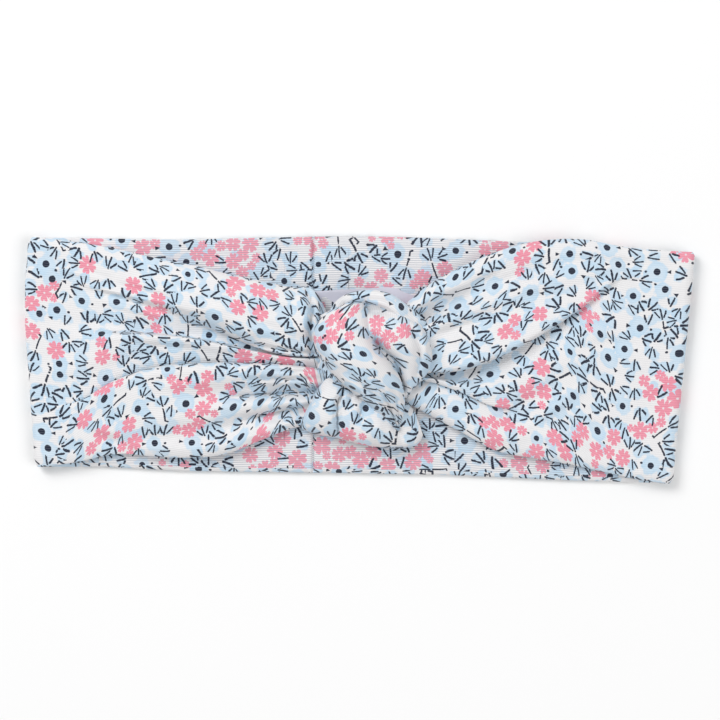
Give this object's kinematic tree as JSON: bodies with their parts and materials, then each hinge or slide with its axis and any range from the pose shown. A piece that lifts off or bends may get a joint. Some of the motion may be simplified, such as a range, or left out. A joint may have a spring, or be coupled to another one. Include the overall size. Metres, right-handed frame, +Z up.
{
  "type": "knotted headband",
  "caption": "Soft two-ply jersey headband with a knot at the front, folded flat, with one back seam and a blank care label.",
  "frame": {"origin": "middle of the flat-lying headband, on the surface that it lies on", "axes": "+X along the band from the left fold to the right fold, +Y across the band towards the edge nearer the knot's top strip, +Z up out of the surface, the way the knot faces"},
  "size_m": [0.19, 0.0704, 0.0196],
  "materials": {
    "jersey_print": "fine ribbed cotton jersey, printed with pale blue washes, navy sprigs and pink blossoms, matt",
    "white_thread": "polyester sewing thread, slight sheen",
    "satin_label": "blank woven satin ribbon, soft sheen"
  },
  "bodies": {
    "back_left": {"back_left_outer_ply": "jersey_print", "back_left_inner_ply": "jersey_print", "back_left_seam_allowance": "jersey_print", "left_fold_turn": "jersey_print", "back_left_edge_thread": "white_thread"},
    "back_right": {"back_right_outer_ply": "jersey_print", "back_right_inner_ply": "jersey_print", "back_right_seam_allowance": "jersey_print", "right_fold_turn": "jersey_print", "back_seam_thread": "white_thread", "back_right_edge_thread": "white_thread", "label_tack_thread": "white_thread"},
    "front_left": {"front_left_outer_ply": "jersey_print", "front_left_inner_ply": "jersey_print", "front_left_edge_thread": "white_thread", "knot_core": "jersey_print", "knot_front_loop": "jersey_print", "knot_right_lobe": "jersey_print", "knot_top_strip": "jersey_print", "knot_lower_flap": "jersey_print"},
    "front_right": {"front_right_outer_ply": "jersey_print", "front_right_inner_ply": "jersey_print", "front_right_edge_thread": "white_thread"},
    "label": {"care_label": "satin_label"}
  },
  "joints": [
    {"name": "left_fold_hinge", "type": "hinge", "parent": "back_left", "child": "front_left", "pos_m": [-0.0928, 0, 0.0022], "axis": [0, -1, 0], "range_deg": [0, 90]},
    {"name": "back_seam_hinge", "type": "hinge", "parent": "back_left", "child": "back_right", "pos_m": [-0.0133, 0, 0.0018], "axis": [0, -1, 0], "range_deg": [0, 90]},
    {"name": "right_fold_hinge", "type": "hinge", "parent": "back_right", "child": "front_right", "pos_m": [0.0928, 0, 0.0022], "axis": [0, 1, 0], "range_deg": [0, 90]},
    {"name": "label_hinge", "type": "hinge", "parent": "back_right", "child": "label", "pos_m": [-0.0128, 0, 0.0018], "axis": [0, -1, 0], "range_deg": [0, 36]}
  ],
  "couplings": [
    {"joint": "back_seam_hinge", "follows": "left_fold_hinge", "ratio": 1},
    {"joint": "right_fold_hinge", "follows": "left_fold_hinge", "ratio": 1},
    {"joint": "label_hinge", "follows": "left_fold_hinge", "ratio": 0.4}
  ]
}
